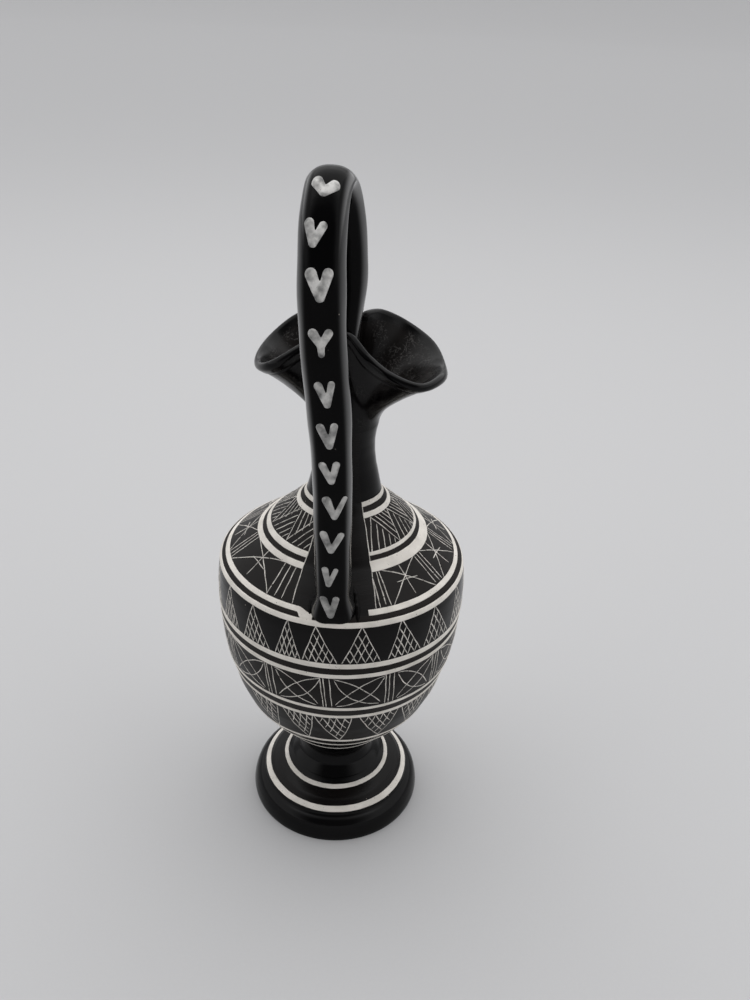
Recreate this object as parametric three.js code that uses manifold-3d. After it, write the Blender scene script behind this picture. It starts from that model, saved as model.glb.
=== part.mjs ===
// A hand-thrown black clay jug on a pedestal foot, with a pinched three-lobed mouth, a high
// strap handle and white slip decoration.
//
// Frame: millimetres, +Z up. The origin is the centre of the foot's resting plane, the handle
// stands on the -Y side and the pouring lobe points along +Y.
//
// The clay pieces were thrown or pulled one by one and luted together: foot, stem, bowl,
// shoulder, neck, mouth and handle. The slip bands and the heart-shaped dabs lie on top.
import * as THREE from "three";
import { mergeVertices } from "three/addons/utils/BufferGeometryUtils.js";
import { ParametricGeometry } from "three/addons/geometries/ParametricGeometry.js";
import Module from "manifold-3d";

const wasm = await Module();
wasm.setup();

// --- Driving dimensions -------------------------------------------------------------------

const ROUND_SEGMENTS = 40; // facets round every thrown piece
const SEAM_GAP = 0.3; // between two clay pieces that meet
const WALL = 3.6; // clay wall of the bowl and the shoulder
const BOWL_FLOOR = 40; // height of the bowl's inside floor
const SLIP_GAP = 0.12; // between the clay and the slip on it
const SLIP_THICKNESS = 0.35;

const FOOT_TOP = 17;
const STEM_TOP = 33;
const BOWL_TOP = 110;
const SHOULDER_TOP = 137.4;
const NECK_TOP = 165;
const NECK_TOP_RADIUS = 9.5; // middle of the wall where the mouth begins
const LIP_HALF_THICKNESS = 1.3;

// Outer outline of each thrown piece as [radius, height]. Slip bands start and end on these
// points, so that each band lies on one straight stretch.
const FOOT_OUTLINE = [
  [33.4, 0],
  [33.6, 1.4],
  [33.1, 4.4],
  [32.2, 6.8],
  [30.6, 8.4],
  [29.2, 8.8],
  [28.8, 10.45],
  [26.75, 11.65],
  [25.2, 13.2],
  [22.6, 14.3],
  [21, 14.9],
  [19.5, 15.75],
  [17.6, FOOT_TOP],
];
const STEM_OUTLINE = [
  [17.4, FOOT_TOP + SEAM_GAP],
  [14.2, 20.2],
  [13, 24],
  [13.4, 27.6],
  [15.4, 31],
  [17.3, STEM_TOP],
];
const BOWL_OUTLINE = [
  [17.6, STEM_TOP + SEAM_GAP],
  [22, 37.7],
  [22.6, 38.4],
  [30.2, 47.8],
  [30.8, 48.6],
  [34.2, 53.6],
  [34.9, 54.9],
  [38.4, 63.2],
  [40.4, 70.6],
  [40.8, 72.3],
  [41.9, 75.6],
  [42.3, 77.3],
  [43.4, 84.6],
  [43.9, 91.3],
  [44.1, 93.4],
  [44.3, 96.3],
  [44.4, 98.4],
  [44.4, 104],
  [44, BOWL_TOP],
];
const SHOULDER_OUTLINE = [
  [43.9, BOWL_TOP + SEAM_GAP],
  [43.6, 112.4],
  [42.8, 114.2],
  [41.4, 115.1],
  [39.9, 116.2],
  [30.1, 123.3],
  [28.1, 124.7],
  [26.4, 126.4],
  [25, 127.7],
  [16.3, 135.5],
  [14.8, 136.9],
  [14.4, SHOULDER_TOP],
];
const NECK_OUTLINE = [
  [14.2, SHOULDER_TOP + SEAM_GAP],
  [13.8, 138.2],
  [12.8, 139.9],
  [11.9, 144],
  [10.6, 149.4],
  [9.9, 154.6],
  [9.8, 158.6],
  [10.2, 162],
  [10.8, NECK_TOP],
];

// Slip bands that run all the way round: [name, piece outline, index of the lower point].
const WHOLE_BANDS = [
  ["foot_band_lower", FOOT_OUTLINE, 6],
  ["foot_band_upper", FOOT_OUTLINE, 10],
  ["bowl_line_bottom", BOWL_OUTLINE, 1],
  ["bowl_line_middle", BOWL_OUTLINE, 3],
  ["bowl_line_top", BOWL_OUTLINE, 5],
  ["belly_band_1", BOWL_OUTLINE, 8],
  ["belly_band_2", BOWL_OUTLINE, 10],
  ["belly_band_3", BOWL_OUTLINE, 13],
  ["belly_band_4", BOWL_OUTLINE, 15],
  ["shoulder_band_1", SHOULDER_OUTLINE, 1],
];
// Slip bands that stop at the plain panel behind the handle.
const OPEN_BANDS = [
  ["shoulder_band_2", SHOULDER_OUTLINE, 3],
  ["shoulder_band_3", SHOULDER_OUTLINE, 5],
  ["shoulder_band_4", SHOULDER_OUTLINE, 7],
  ["neck_band_1", SHOULDER_OUTLINE, 9],
  ["neck_band_2", NECK_OUTLINE, 1],
];
// Half the width of the plain panel at the shoulder's edge and at the neck.
const PANEL_FOOT_HALF_WIDTH = 11;
const PANEL_HEAD_HALF_WIDTH = 8;

// Rim of the pinched mouth: [angle round the neck in degrees, x, y, z]. The side lobes droop,
// the front lobe pours, and the lip rises where it is pinched and where the handle lands.
const RIM = [
  [-90, 0, -13, 198.5],
  [-72, 6.5, -14.5, 192],
  [-50, 14, -19.2, 188.4],
  [-30, 22.4, -20.6, 186.2],
  [-12, 28.8, -11.6, 185.6],
  [6, 30, 1.6, 184.6],
  [22, 26.6, 13.6, 187.6],
  [38, 18.4, 18.8, 191.9],
  [56, 9.4, 15.6, 196.4],
  [68, 4.6, 9.4, 197.6],
  [78, 7, 17.6, 194],
  [84, 5.4, 25.4, 191.4],
  [90, 0, 28.4, 190.6],
  [96, -5.4, 25.4, 191.4],
  [102, -7, 17.6, 194],
  [112, -4.6, 9.4, 197.6],
  [124, -9.4, 15.6, 196.4],
  [142, -17.6, 18.2, 192.9],
  [158, -25.2, 14.6, 187.4],
  [174, -28.4, 3.6, 185],
  [192, -27.2, -8.6, 185.8],
  [212, -21.8, -17.2, 189.8],
  [234, -13.4, -16, 195],
  [252, -6.2, -13.8, 198.4],
];
const FLARE_START = 0.45; // share of the lip's height that still climbs like the neck
const FLARE_SPREAD = 1.05; // widening of the throat where the flare starts
const LIP_COLUMNS = 64;
const LIP_ROWS = 5;
const LIP_ROUNDING_STEPS = 3;

// Middle line of the strap handle from the shoulder over the top to the inside of the lip.
const HANDLE_PATH = [
  [-0.8, -38, 111],
  [-0.9, -38.8, 118],
  [-1.1, -39.9, 129],
  [-1.5, -40.6, 143],
  [-1.9, -40.8, 162],
  [-3.3, -40.7, 185],
  [-5.4, -39.8, 206],
  [-6.3, -36.6, 224],
  [-6.3, -30.2, 238],
  [-5.2, -21.8, 244.4],
  [-3.4, -13.4, 239.4],
  [-1.8, -8.8, 228],
  [-1.1, -7.8, 215],
  [-1.1, -8, 203],
  [-1.2, -8.8, 191],
];
const STRAP_WIDTH = 13;
const STRAP_WAIST_WIDTH = 11.5;
const STRAP_ROOT_WIDTH = 16;
const STRAP_TIP_WIDTH = 8.5;
const STRAP_THICKNESS = 7.6;
const STRAP_ROOT_THICKNESS = 10;
const STRAP_SQUARENESS = 0.8; // 1 gives an oval section, towards 0 a square one

// Hearts dabbed up the strap by hand: [share of the handle's length, step to the side].
const HEARTS = [
  [0.049, -0.5],
  [0.11, -0.6],
  [0.174, 0.4],
  [0.233, 0.9],
  [0.29, -0.2],
  [0.347, -0.3],
  [0.408, -0.1],
  [0.478, -0.1],
  [0.549, -0.3],
  [0.611, -1.4],
  [0.665, 0.2],
];
const HEART_WIDTH = 6.8;
const HEART_HEIGHT = 8.8;
const HEART_THICKNESS = 1;
const HEART_STROKE_WIDTH = 0.42 * HEART_WIDTH;
const HEART_STROKE_LENGTH = 1.04 * HEART_HEIGHT;
const HEART_STROKE_SPREAD = 0.23 * HEART_WIDTH; // from the heart's middle to each stroke's
const HEART_STROKE_LEAN = 0.42; // radians

// --- Materials ----------------------------------------------------------------------------

function blackClay() {
  return new THREE.MeshStandardMaterial({ color: 0x1c1b1d, roughness: 0.35, metalness: 0 });
}

function whiteSlip() {
  return new THREE.MeshStandardMaterial({ color: 0xd8d2c8, roughness: 0.85, metalness: 0 });
}

// --- Geometry helpers ---------------------------------------------------------------------

// Merges shared vertices and drops the triangles that a pole or a seam collapsed.
function welded(geometry) {
  const bare = new THREE.BufferGeometry();
  bare.setAttribute("position", geometry.getAttribute("position").clone());
  bare.setIndex(geometry.getIndex());
  const merged = mergeVertices(bare, 1e-4);
  const corners = merged.getIndex().array;
  const kept = [];
  for (let i = 0; i < corners.length; i += 3) {
    const [a, b, c] = corners.slice(i, i + 3);
    if (a !== b && b !== c && c !== a) kept.push(a, b, c);
  }
  merged.setIndex(kept);
  return merged;
}

function solidFrom(geometry) {
  const shape = welded(geometry);
  const vertProperties = new Float32Array(shape.getAttribute("position").array);
  const triVerts = new Uint32Array(shape.getIndex().array);
  return new wasm.Manifold(new wasm.Mesh({ numProp: 3, vertProperties, triVerts }));
}

function geometryFrom(solid) {
  const mesh = solid.getMesh();
  const geometry = new THREE.BufferGeometry();
  const positions = new THREE.BufferAttribute(new Float32Array(mesh.vertProperties), 3);
  geometry.setAttribute("position", positions);
  geometry.setIndex(new THREE.BufferAttribute(new Uint32Array(mesh.triVerts), 1));
  geometry.computeVertexNormals();
  return geometry;
}

// Turns a closed outline of [radius, height] points about Z. The outline runs upwards outside.
function turned(outline) {
  const points = outline.map(([radius, height]) => new THREE.Vector2(radius, height));
  points.push(points[0].clone());
  const geometry = new THREE.LatheGeometry(points, ROUND_SEGMENTS);
  geometry.rotateX(Math.PI / 2);
  return geometry;
}

// Moves an open outline sideways by a distance, positive outwards.
function offset(outline, distance) {
  return outline.map(([radius, height], i) => {
    const [r0, z0] = outline[Math.max(i - 1, 0)];
    const [r1, z1] = outline[Math.min(i + 1, outline.length - 1)];
    const length = Math.hypot(r1 - r0, z1 - z0);
    return [radius + (distance * (z1 - z0)) / length, height - (distance * (r1 - r0)) / length];
  });
}

// The inside of a wall: the outline moved inwards, with every third point and both ends kept.
function insideOf(outline, thickness) {
  const last = outline.length - 1;
  const inner = offset(outline, -thickness);
  inner[0][1] = outline[0][1];
  inner[last][1] = outline[last][1];
  return inner.filter((_, i) => i === last || (i % 3 === 0 && i < last - 1));
}

// An open-ended wall of revolution between flat end faces.
function wall(outline, thickness) {
  return turned([...outline, ...insideOf(outline, thickness).reverse()]);
}

function clayMesh(name, geometry) {
  const mesh = new THREE.Mesh(geometry, blackClay());
  mesh.name = name;
  return mesh;
}

function slipMesh(name, geometry) {
  const mesh = new THREE.Mesh(geometry, whiteSlip());
  mesh.name = name;
  return mesh;
}

// --- Thrown pieces ------------------------------------------------------------------------

// The foot is a stepped disc, domed hollow below, that stands on a flat ring.
function foot() {
  const hollow = [
    [0, 12.5],
    [16, 10.5],
    [23.5, 5.5],
    [26.5, 0],
  ];
  return clayMesh("foot", turned([...FOOT_OUTLINE, [0, FOOT_TOP], ...hollow]));
}

function stem() {
  const top = [0, STEM_TOP];
  const bottom = [0, FOOT_TOP + SEAM_GAP];
  return clayMesh("stem", turned([...STEM_OUTLINE, top, bottom]));
}

function bowl() {
  const inside = insideOf(BOWL_OUTLINE, WALL).filter(([, height]) => height > BOWL_FLOOR + 4);
  const cavity = [[0, BOWL_FLOOR], [14, BOWL_FLOOR + 1], ...inside].reverse();
  const underside = [0, STEM_TOP + SEAM_GAP];
  return clayMesh("bowl", turned([...BOWL_OUTLINE, ...cavity, underside]));
}

function shoulder() {
  return clayMesh("shoulder", wall(SHOULDER_OUTLINE, WALL));
}

function neck() {
  return clayMesh("neck", wall(NECK_OUTLINE, 2 * LIP_HALF_THICKNESS));
}

// --- Mouth --------------------------------------------------------------------------------

const rimCurve = new THREE.CatmullRomCurve3(
  RIM.map(([, x, y, z]) => new THREE.Vector3(x, y, z)),
  true,
);
const throatCurve = new THREE.CatmullRomCurve3(
  RIM.map(([degrees]) => {
    const angle = THREE.MathUtils.degToRad(degrees);
    const height = NECK_TOP + SEAM_GAP;
    return new THREE.Vector3(Math.cos(angle), Math.sin(angle), 0)
      .multiplyScalar(NECK_TOP_RADIUS)
      .setZ(height);
  }),
  true,
);

// Middle of the lip's wall: round goes 0 to 1 round the mouth, climb 0 to 1 from throat to rim.
function lipMiddle(round, climb) {
  const throat = throatCurve.getPoint(round % 1);
  const edge = rimCurve.getPoint(round % 1);
  const knee = throat.clone().multiplyScalar(FLARE_SPREAD);
  knee.z = THREE.MathUtils.lerp(throat.z, edge.z, FLARE_START);
  const rising = throat.lerp(knee, climb);
  const flaring = knee.clone().lerp(edge, climb);
  return rising.lerp(flaring, climb);
}

function lipNormal(round, climb) {
  const step = 1e-3;
  const low = Math.max(climb - step, 0);
  const up = lipMiddle(round, low + step).sub(lipMiddle(round, low));
  const along = lipMiddle(round + step, climb).sub(lipMiddle(round + 1 - step, climb));
  const normal = along.cross(up).normalize();
  if (climb < step) normal.setZ(0).normalize();
  return normal;
}

// The lip as a closed shell: up the outside, over the rounded rim and down the inside.
function lipGeometry(halfThickness) {
  const stations = [];
  for (let i = 0; i <= LIP_ROWS; i += 1) stations.push([i / LIP_ROWS, 1, 0]);
  for (let i = 1; i < LIP_ROUNDING_STEPS; i += 1) {
    const turn = (Math.PI * i) / LIP_ROUNDING_STEPS;
    stations.push([1, Math.cos(turn), Math.sin(turn)]);
  }
  for (let i = LIP_ROWS; i >= 0; i -= 1) stations.push([i / LIP_ROWS, -1, 0]);
  stations.push([0, 1, 0]);
  const surface = (round, across, target) => {
    const [climb, side, over] = stations[Math.round(across * (stations.length - 1))];
    const normal = lipNormal(round, climb);
    const along = lipMiddle(round, 1).sub(lipMiddle(round, 0.98)).normalize();
    target.copy(lipMiddle(round, climb));
    target.addScaledVector(normal, side * halfThickness);
    target.addScaledVector(along, over * halfThickness);
  };
  return welded(new ParametricGeometry(surface, LIP_COLUMNS, stations.length - 1));
}

function mouth() {
  return clayMesh("mouth", lipGeometry(LIP_HALF_THICKNESS));
}

// --- Handle -------------------------------------------------------------------------------

const handleCurve = new THREE.CatmullRomCurve3(
  HANDLE_PATH.map(([x, y, z]) => new THREE.Vector3(x, y, z)),
  false,
  "centripetal",
);

// Strap width at a share of the handle's length: flared root, waist, full strap, narrow tip.
function strapWidth(share) {
  const flare = 1 - THREE.MathUtils.smoothstep(share, 0.02, 0.13);
  const full = THREE.MathUtils.smoothstep(share, 0.2, 0.48);
  const tip = THREE.MathUtils.smoothstep(share, 0.88, 1);
  const body = THREE.MathUtils.lerp(STRAP_WAIST_WIDTH, STRAP_WIDTH, full);
  const rooted = THREE.MathUtils.lerp(body, STRAP_ROOT_WIDTH, flare);
  return THREE.MathUtils.lerp(rooted, STRAP_TIP_WIDTH, tip);
}

function strapThickness(share) {
  const flare = 1 - THREE.MathUtils.smoothstep(share, 0.02, 0.08);
  return THREE.MathUtils.lerp(STRAP_THICKNESS, STRAP_ROOT_THICKNESS, flare);
}

// Middle point, direction, width axis and outward axis of the strap at a share of its length.
function strapFrame(share) {
  const point = handleCurve.getPointAt(share);
  const along = handleCurve.getTangentAt(share);
  const across = new THREE.Vector3(1, 0, 0);
  across.addScaledVector(along, -across.dot(along)).normalize();
  const outward = new THREE.Vector3().crossVectors(across, along);
  return { point, along, across, outward };
}

// Point of a rounded-rectangle section at an angle round it.
function sectionPoint(frame, width, thickness, angle) {
  const bend = (value) => Math.sign(value) * Math.abs(value) ** STRAP_SQUARENESS;
  return frame.point
    .clone()
    .addScaledVector(frame.across, (width / 2) * bend(Math.cos(angle)))
    .addScaledVector(frame.outward, (thickness / 2) * bend(Math.sin(angle)));
}

function handleGeometry() {
  const sides = 16;
  const steps = 40;
  const surface = (round, length, target) => {
    const station = Math.round(length * (steps + 2));
    const share = THREE.MathUtils.clamp((station - 1) / steps, 0, 1);
    const frame = strapFrame(share);
    const capped = station === 0 || station === steps + 2;
    if (capped) target.copy(frame.point);
    else {
      const angle = -(Math.round(round * sides) % sides) * ((2 * Math.PI) / sides);
      target.copy(sectionPoint(frame, strapWidth(share), strapThickness(share), angle));
    }
  };
  return welded(new ParametricGeometry(surface, sides, steps + 2));
}

// The strap is cut back from the shoulder, the slip band and the lip that it touches.
function handle() {
  const grownShoulder = offset(SHOULDER_OUTLINE.slice(1), SEAM_GAP);
  const low = BOWL_TOP - STRAP_THICKNESS;
  const plug = [...grownShoulder, [0, SHOULDER_TOP], [0, low], [grownShoulder[0][0], low]];
  const shoulderCut = solidFrom(turned(plug));
  const lipCut = solidFrom(lipGeometry(LIP_HALF_THICKNESS + SEAM_GAP));
  const bandCut = solidFrom(turned(bandOutline(SHOULDER_OUTLINE, 1, SEAM_GAP)));
  const cuts = wasm.Manifold.union([shoulderCut, bandCut, lipCut]);
  const strap = solidFrom(handleGeometry()).subtract(cuts);
  const bodies = strap.decompose().sort((a, b) => b.volume() - a.volume());
  return clayMesh("handle", geometryFrom(bodies[0]));
}

// --- Slip ---------------------------------------------------------------------------------

// Section of a slip band over one stretch of an outline, grown on every side by a margin.
function bandOutline(outline, index, margin = 0) {
  const low = new THREE.Vector2(...outline[index]);
  const high = new THREE.Vector2(...outline[index + 1]);
  const push = high.clone().sub(low).setLength(margin);
  const stretch = [low.sub(push).toArray(), high.add(push).toArray()];
  const inner = offset(stretch, SLIP_GAP - margin);
  const outer = offset(stretch, SLIP_GAP + SLIP_THICKNESS + margin);
  return [...outer, ...inner.reverse()];
}

// The plain panel as a tapered block that reaches from the axis out past the shoulder.
function panelBlock() {
  const low = SHOULDER_OUTLINE[1][1];
  const high = NECK_OUTLINE[3][1];
  const reach = SHOULDER_OUTLINE[0][0] + WALL;
  const shape = new THREE.Shape();
  shape.moveTo(-PANEL_FOOT_HALF_WIDTH, low);
  shape.lineTo(PANEL_FOOT_HALF_WIDTH, low);
  shape.lineTo(PANEL_HEAD_HALF_WIDTH, high);
  shape.lineTo(-PANEL_HEAD_HALF_WIDTH, high);
  shape.closePath();
  const geometry = new THREE.ExtrudeGeometry(shape, { depth: reach, bevelEnabled: false });
  geometry.rotateX(Math.PI / 2);
  return solidFrom(geometry);
}

function bands() {
  const whole = WHOLE_BANDS.map(([name, outline, index]) =>
    slipMesh(name, turned(bandOutline(outline, index))),
  );
  const panel = panelBlock();
  const open = OPEN_BANDS.map(([name, outline, index]) => {
    const ring = solidFrom(turned(bandOutline(outline, index)));
    return slipMesh(name, geometryFrom(ring.subtract(panel)));
  });
  return [...whole, ...open];
}

// A heart is two fat strokes of slip that meet at the point.
function heartGeometry() {
  const strokes = [-1, 1].map((side) => {
    const stroke = new THREE.SphereGeometry(1, 8, 5);
    stroke.scale(HEART_STROKE_WIDTH / 2, HEART_STROKE_LENGTH / 2, HEART_THICKNESS / 2);
    stroke.rotateZ(-side * HEART_STROKE_LEAN);
    stroke.translate(side * HEART_STROKE_SPREAD, 0, 0);
    return solidFrom(stroke);
  });
  return geometryFrom(strokes[0].add(strokes[1]));
}

function hearts() {
  return HEARTS.map(([share, sidestep], i) => {
    const frame = strapFrame(share);
    const lift = (strapThickness(share) + HEART_THICKNESS) / 2 + SEAM_GAP;
    const heart = slipMesh(`heart_${String(i + 1).padStart(2, "0")}`, heartGeometry());
    heart.position.copy(frame.point);
    heart.position.addScaledVector(frame.outward, lift);
    heart.position.addScaledVector(frame.across, sidestep);
    const turn = new THREE.Matrix4().makeBasis(frame.across, frame.along, frame.outward);
    heart.quaternion.setFromRotationMatrix(turn);
    return heart;
  });
}

// --- Assembly -----------------------------------------------------------------------------

const jug = new THREE.Group();
jug.add(foot(), stem(), bowl(), shoulder(), neck(), mouth(), handle());
jug.add(...bands(), ...hearts());

export default jug;
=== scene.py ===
"""Looks of the black clay pedestal jug: burnished clay, slip bands, scratched patterns and hearts.

Lengths are millimetres until a mesh is made, which scales them to metres. Angles round the jug
are degrees: 0 is +X, 90 is the pouring lobe's side and -90 the handle's side. The turned pieces
take their outlines from the CAD nodes, so that every band and pattern lies on the CAD's surface.
"""

import math

import bmesh
import bpy
import numpy as np
from mathutils import Matrix, Vector


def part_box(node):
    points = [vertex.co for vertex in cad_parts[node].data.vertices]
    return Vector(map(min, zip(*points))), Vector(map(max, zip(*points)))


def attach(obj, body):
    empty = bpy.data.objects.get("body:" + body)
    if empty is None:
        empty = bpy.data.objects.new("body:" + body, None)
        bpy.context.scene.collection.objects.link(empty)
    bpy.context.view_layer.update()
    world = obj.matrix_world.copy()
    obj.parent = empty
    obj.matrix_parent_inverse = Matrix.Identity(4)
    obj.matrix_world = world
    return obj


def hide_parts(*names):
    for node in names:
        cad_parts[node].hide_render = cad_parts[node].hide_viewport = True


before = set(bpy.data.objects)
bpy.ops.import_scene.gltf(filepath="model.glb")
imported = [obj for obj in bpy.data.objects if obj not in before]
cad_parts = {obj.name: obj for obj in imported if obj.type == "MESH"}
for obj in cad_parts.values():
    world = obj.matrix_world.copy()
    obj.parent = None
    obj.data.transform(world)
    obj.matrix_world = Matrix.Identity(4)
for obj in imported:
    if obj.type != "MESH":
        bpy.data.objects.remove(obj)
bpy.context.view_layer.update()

MM = 0.001
rng = np.random.default_rng(7)

# --- Dimensions ---------------------------------------------------------------------------

TURNED_NODES = ["foot", "stem", "bowl", "shoulder", "neck"]
SEGMENTS = 240  # columns of a turned mesh
OUTLINE_STEP = 0.55  # between the rings of a turned mesh
OUTLINE_SOFTENING = 0.55  # rounding of the outline's corners
WALL = 3.6
NECK_WALL = 2.6
BOWL_FLOOR = 40

SLIP_RISE = 0.13  # how far a painted band stands proud
SLIP_DEPTH = 0.25  # how far its underside lies in the clay
LINE_WIDTH = 0.38
BORDER_WIDTH = 0.36

# Plain panel behind the handle: border angles on each side as (height, left, right).
PANEL_BORDERS = [
    (115.0, -110.5, -71.6),
    (124.0, -113.3, -68.4),
    (129.0, -113.8, -66.7),
    (136.0, -117.0, -62.2),
    (140.0, -119.0, -60.0),
]

# Rim of the mouth as (angle round the neck, x, y, z), the same as in the CAD.
RIM = [
    (-90, 0, -13, 198.5),
    (-72, 6.5, -14.5, 192),
    (-50, 14, -19.2, 188.4),
    (-30, 22.4, -20.6, 186.2),
    (-12, 28.8, -11.6, 185.6),
    (6, 30, 1.6, 184.6),
    (22, 26.6, 13.6, 187.6),
    (38, 18.4, 18.8, 191.9),
    (56, 9.4, 15.6, 196.4),
    (68, 4.6, 9.4, 197.6),
    (78, 7, 17.6, 194),
    (84, 5.4, 25.4, 191.4),
    (90, 0, 28.4, 190.6),
    (96, -5.4, 25.4, 191.4),
    (102, -7, 17.6, 194),
    (112, -4.6, 9.4, 197.6),
    (124, -9.4, 15.6, 196.4),
    (142, -17.6, 18.2, 192.9),
    (158, -25.2, 14.6, 187.4),
    (174, -28.4, 3.6, 185),
    (192, -27.2, -8.6, 185.8),
    (212, -21.8, -17.2, 189.8),
    (234, -13.4, -16, 195),
    (252, -6.2, -13.8, 198.4),
]
THROAT_RADIUS = 9.5
FLARE_START = 0.45
FLARE_SPREAD = 1.05
LIP_HALF_THICKNESS = 1.3
BEAD_SWELL = 0.25  # extra half thickness of the rim's bead
BEAD_WIDTH = 1.9
GROOVE_DEPTH = 0.25
GROOVE_WIDTH = 0.28
FINE_REACH = 5.2  # how far from the rim the lip's mesh is finer
RIM_ROUNDING = 8  # steps over the rim
MOUTH_COLUMNS = 360

# Middle line of the strap handle: the CAD's, but 0.2 mm higher at the top.
HANDLE_PATH = [
    (-0.8, -38, 111),
    (-0.9, -38.8, 118),
    (-1.1, -39.9, 129),
    (-1.5, -40.6, 143),
    (-1.9, -40.8, 162),
    (-3.3, -40.7, 185),
    (-5.4, -39.8, 206),
    (-6.3, -36.6, 224),
    (-6.3, -30.2, 238),
    (-5.2, -21.8, 244.6),
    (-3.4, -13.4, 239.4),
    (-1.8, -8.8, 228),
    (-1.1, -7.8, 215),
    (-1.1, -8, 203),
    (-1.2, -8.8, 191),
]
STRAP_WIDTH = 13
STRAP_WAIST_WIDTH = 11.5
STRAP_ROOT_WIDTH = 16.4
STRAP_TIP_WIDTH = 9
STRAP_THICKNESS = 7.6
STRAP_ROOT_THICKNESS = 10
# Shares of the strap's length between which its width or thickness changes.
ROOT_SPLAY = (0.005, 0.065)
ROOT_SWELL = (0.02, 0.08)
WAIST_TO_FULL = (0.2, 0.48)
TIP_TAPER = (0.86, 1)
FACE_POWER = 3.8  # flatness of the strap's outer face
CREST_FACE_POWER = 2.5  # the same where it turns over the top
CREST_REACH = 0.07  # share of the length over which it gets rounder
SIDE_POWER = 1.3  # 2 gives round sides, 1 straight slanted ones
POLISHED_EDGE = (0.66, 0.9)  # shares of the half width between which the polish sets in
STRAP_SIDES = 72  # vertices round the strap
STRAP_STATIONS = 420  # sections along it

# Hearts up the strap: share of the length, side step, width, height, turn in degrees, radius of
# the left and the right stroke, and the share of the height where both have run together.
HEARTS = [
    (0.048, -0.7, 6.3, 8.4, 4, 1.3, 1.1, 0.0),
    (0.106, -0.9, 5.2, 7.6, -5, 1.1, 0.8, 0.0),
    (0.170, -0.1, 7.5, 7.9, -3, 1.25, 1.05, 0.0),
    (0.230, 0.8, 7.5, 8.0, 0, 1.4, 0.8, 0.0),
    (0.288, -0.2, 6.3, 7.6, 5, 1.2, 1.1, 0.0),
    (0.346, -0.3, 6.3, 8.2, 4, 1.25, 1.1, 0.0),
    (0.408, -0.1, 5.9, 8.0, 3, 1.25, 1.0, 0.0),
    (0.479, -0.3, 6.8, 7.9, 0, 1.4, 1.2, 0.28),
    (0.552, -0.3, 7.6, 8.6, 2, 1.65, 1.45, 0.0),
    (0.613, -1.9, 6.2, 6.9, -8, 1.35, 1.15, 0.0),
    (0.669, -0.3, 7.7, 5.2, -5, 1.6, 1.5, 0.0),
]
HEART_RISE = 0.55


# --- Small numeric helpers ----------------------------------------------------------------


def smoothstep(value, start, end):
    t = np.clip((np.asarray(value, float) - start) / (end - start), 0, 1)
    return t * t * (3 - 2 * t)


def unit(vectors):
    return vectors / np.maximum(np.linalg.norm(vectors, axis=-1, keepdims=True), 1e-12)


def catmull_rom(points, closed, steps):
    """Centripetal Catmull-Rom curve through the points, with so many samples per stretch."""
    points = np.asarray(points, float)
    if closed:
        padded = np.vstack([points[-1], points, points[:2]])
    else:
        before = 2 * points[0] - points[1]
        after = 2 * points[-1] - points[-2]
        padded = np.vstack([before, points, after])
    pieces = []
    for i in range(1, len(padded) - 2):
        p = padded[i - 1 : i + 3]
        gaps = np.sqrt(np.linalg.norm(np.diff(p, axis=0), axis=1))
        t = np.concatenate([[0], np.cumsum(gaps)])
        s = np.linspace(t[1], t[2], steps, endpoint=False)[:, None]
        a = [(t[k + 1] - s) / gaps[k] * p[k] + (s - t[k]) / gaps[k] * p[k + 1] for k in range(3)]
        b = [
            (t[k + 2] - s) / (t[k + 2] - t[k]) * a[k] + (s - t[k]) / (t[k + 2] - t[k]) * a[k + 1]
            for k in range(2)
        ]
        pieces.append((t[2] - s) / gaps[1] * b[0] + (s - t[1]) / gaps[1] * b[1])
    if not closed:
        pieces.append(points[-1:])
    return np.vstack(pieces)


def arc_lengths(path):
    return np.concatenate([[0], np.cumsum(np.linalg.norm(np.diff(path, axis=0), axis=1))])


def resample(path, step):
    """The path with points an even step apart."""
    length = arc_lengths(path)
    count = max(int(round(length[-1] / step)), 2) + 1
    at = np.linspace(0, length[-1], count)
    return np.stack([np.interp(at, length, column) for column in path.T], axis=1)


# --- Meshes -------------------------------------------------------------------------------


def grid_faces(rows, columns, wrap_rows=False, wrap_columns=False):
    """Quads of a grid of vertices numbered row by row."""
    i = np.arange(rows if wrap_rows else rows - 1)
    j = np.arange(columns if wrap_columns else columns - 1)
    i, j = (grid.ravel() for grid in np.meshgrid(i, j, indexing="ij"))
    below, right = (i + 1) % rows, (j + 1) % columns
    corners = [i * columns + j, i * columns + right, below * columns + right, below * columns + j]
    return np.stack(corners, axis=1).tolist()


def merged(meshes):
    """Vertices and faces of several [vertices, faces] meshes as one."""
    vertices, faces, first = [], [], 0
    for points, polygons in meshes:
        vertices.append(points)
        faces += [[corner + first for corner in polygon] for polygon in polygons]
        first += len(points)
    return np.vstack(vertices), faces


def new_object(name, vertices, faces, material, matt=None, polish=None, sharp=50):
    """A mesh object from millimetre vertices, with merged poles and outward faces.

    Matt and polish are optional values per vertex that the clay's shader reads. Edges bent by
    more than the sharp angle are shaded sharp.
    """
    mesh = bpy.data.meshes.new(name)
    mesh.from_pydata((np.asarray(vertices, float).reshape(-1, 3) * MM).tolist(), [], faces)
    for attribute, values in (("matt", matt), ("polish", polish)):
        if values is not None:
            layer = mesh.attributes.new(attribute, "FLOAT", "POINT")
            layer.data.foreach_set("value", np.asarray(values, np.float32).ravel())
    work = bmesh.new()
    work.from_mesh(mesh)
    bmesh.ops.remove_doubles(work, verts=work.verts, dist=1e-7)
    bmesh.ops.recalc_face_normals(work, faces=work.faces)
    work.to_mesh(mesh)
    work.free()
    mesh.shade_smooth()
    mesh.set_sharp_from_angle(angle=math.radians(sharp))
    mesh.materials.append(material)
    made = bpy.data.objects.new(name, mesh)
    bpy.context.scene.collection.objects.link(made)
    return made


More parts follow.
